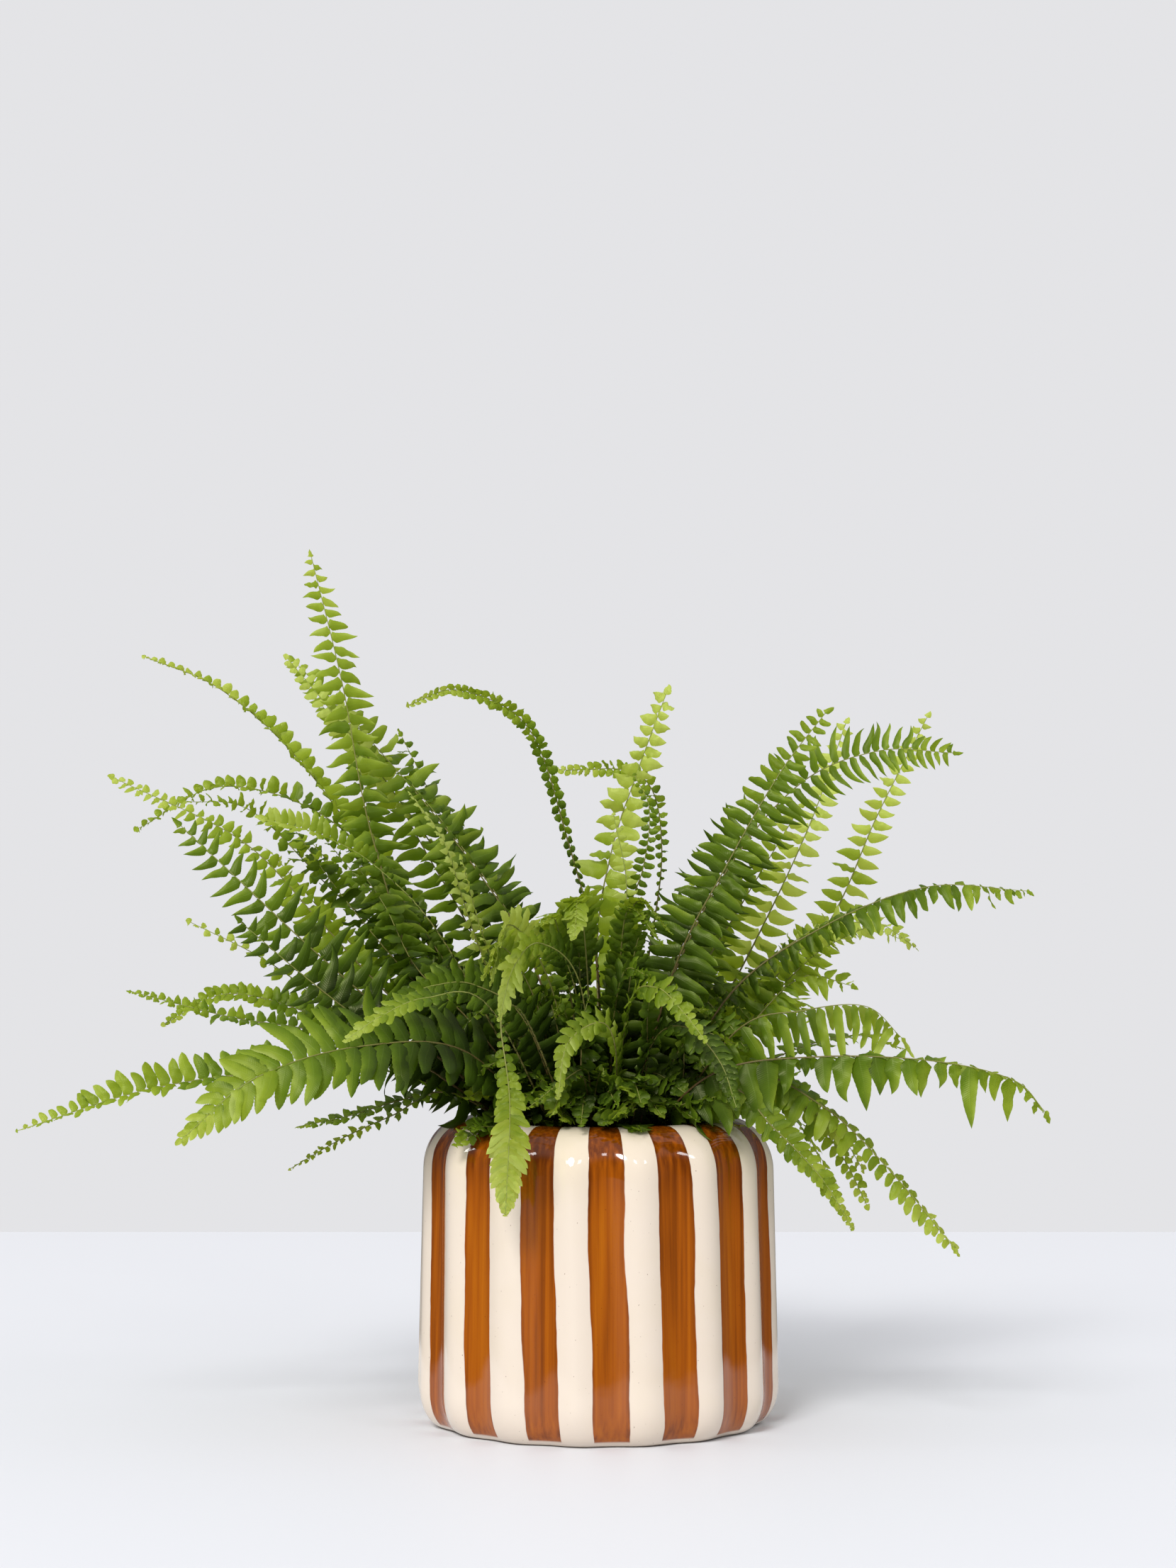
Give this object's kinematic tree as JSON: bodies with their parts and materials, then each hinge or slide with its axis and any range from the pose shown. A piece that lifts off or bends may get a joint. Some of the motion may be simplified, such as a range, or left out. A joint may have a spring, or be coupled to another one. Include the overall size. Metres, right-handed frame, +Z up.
{
  "type": "potted boston fern",
  "caption": "Boston fern with arching and drooping fronds of small leaflets, rooted in soil in a round glazed ceramic pot with soft vertical lobes and painted stripes; stands on its flat base.",
  "frame": {"origin": "centre of the pot's flat base, on the surface that it stands on", "axes": "+Z up along the pot's axis, +X to the right and -Y toward the viewer in the picture's view"},
  "size_m": [0.4729, 0.3073, 0.4111],
  "materials": {
    "glaze": "gloss",
    "peat": "matte",
    "leaf_dark": "satin",
    "leaf_green": "satin",
    "leaf_pale": "satin"
  },
  "bodies": {
    "root": {"pot": "glaze", "soil": "peat", "frond_left_tall": "leaf_green", "frond_left_long": "leaf_green", "frond_left_broad": "leaf_dark", "frond_left_broad_rear": "leaf_dark", "frond_left_slim": "leaf_pale", "frond_left_pale": "leaf_pale", "frond_left_arch": "leaf_green", "frond_left_flat": "leaf_green", "frond_left_reach": "leaf_pale", "frond_left_front": "leaf_green", "frond_left_thin": "leaf_green", "frond_left_bow": "leaf_green", "frond_left_level": "leaf_green", "frond_left_far": "leaf_green", "frond_left_big": "leaf_green", "frond_left_curl": "leaf_green", "frond_left_young": "leaf_pale", "frond_left_dry": "leaf_dark", "frond_left_droop": "leaf_green", "frond_left_dark": "leaf_dark", "frond_mid_hook": "leaf_dark", "frond_mid_pale": "leaf_pale", "frond_mid_hook_rear": "leaf_dark", "frond_mid_front": "leaf_pale", "frond_mid_front_right": "leaf_green", "frond_mid_facing": "leaf_pale", "frond_mid_drop": "leaf_pale", "frond_front_hang": "leaf_pale", "frond_front_crook": "leaf_pale", "frond_front_small": "leaf_dark", "frond_front_right": "leaf_pale", "frond_front_old": "leaf_dark", "frond_right_arch": "leaf_dark", "frond_right_upright": "leaf_dark", "frond_right_slim": "leaf_green", "frond_right_pale": "leaf_pale", "frond_right_rear": "leaf_pale", "frond_right_reach": "leaf_dark", "frond_right_young": "leaf_pale", "frond_right_fringe": "leaf_green", "frond_right_far": "leaf_green", "frond_right_droop": "leaf_green", "frond_right_low": "leaf_green", "frond_right_lowest": "leaf_pale", "frond_right_short": "leaf_green", "frond_rear_right": "leaf_green", "frond_rear_right_reach": "leaf_green", "frond_rear_right_arch": "leaf_green", "frond_rear_middle": "leaf_green", "frond_rear_upright": "leaf_green", "frond_rear_left_reach": "leaf_green", "frond_rear_left_arch": "leaf_green", "frond_rear_left": "leaf_green", "frond_rear_right_droop": "leaf_green", "frond_rear_droop": "leaf_green"}
  },
  "joints": []
}
